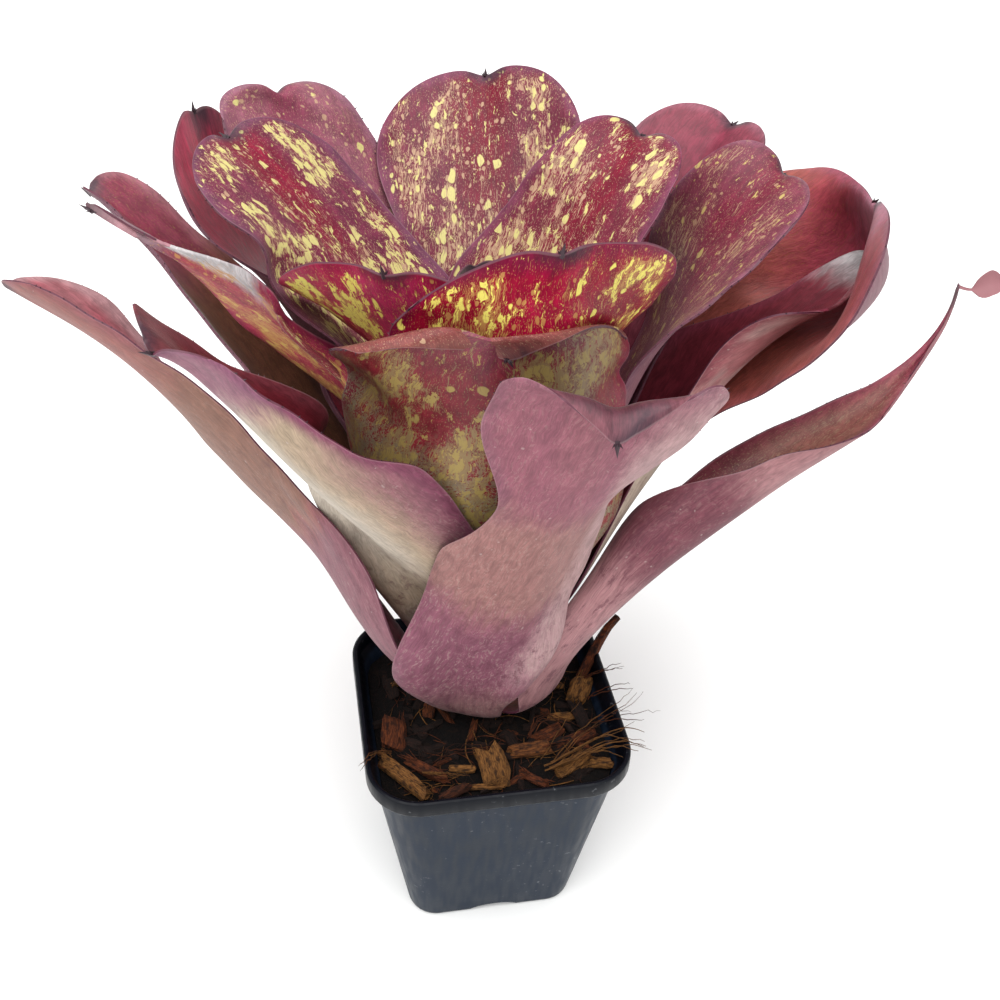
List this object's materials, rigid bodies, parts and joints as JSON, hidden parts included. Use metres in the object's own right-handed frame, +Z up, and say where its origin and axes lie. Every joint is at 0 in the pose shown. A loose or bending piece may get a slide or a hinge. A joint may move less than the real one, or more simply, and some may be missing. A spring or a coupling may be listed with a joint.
{
  "type": "potted bromeliad",
  "caption": "Neoregelia bromeliad: an open cup of broad, blunt, spotted crimson and mauve leaves round a short stem, in a small square plastic nursery pot of bark mix.",
  "frame": {"origin": "centre of the pot's underside, on the surface it stands on", "axes": "+Z up the plant; X and Y along the sides of the square pot, the front leaves towards -Y"},
  "size_m": [0.245, 0.1681, 0.207],
  "materials": {
    "leaf_red": "smooth, faintly glossy leaf, crimson with yellow spots",
    "leaf_mauve": "matte scurfy leaf underside, dusty mauve",
    "stem_green": "matte",
    "pot_plastic": "satin moulded plastic, dark slate",
    "bark_mix": "rough bark and fibre"
  },
  "bodies": {
    "root": {"pot": "pot_plastic", "potting_mix": "bark_mix", "stem": "stem_green", "leaf_front_outer": "leaf_mauve", "leaf_right_long": "leaf_mauve", "leaf_left_long": "leaf_mauve", "leaf_back_low_left": "leaf_mauve", "leaf_back_low": "leaf_mauve", "leaf_back_low_right": "leaf_mauve", "leaf_left_front": "leaf_mauve", "leaf_right_outer": "leaf_mauve", "leaf_right_folded": "leaf_mauve", "leaf_left_outer": "leaf_mauve", "leaf_back_left_outer": "leaf_red", "leaf_back_right_outer": "leaf_red", "leaf_front_inner": "leaf_red", "leaf_left_marked": "leaf_red", "leaf_right": "leaf_red", "leaf_back_left": "leaf_red", "leaf_back": "leaf_red", "leaf_back_left_inner": "leaf_red", "leaf_back_right_inner": "leaf_red", "leaf_heart_right": "leaf_red", "leaf_heart_left": "leaf_red", "leaf_heart": "leaf_red"}
  },
  "joints": []
}
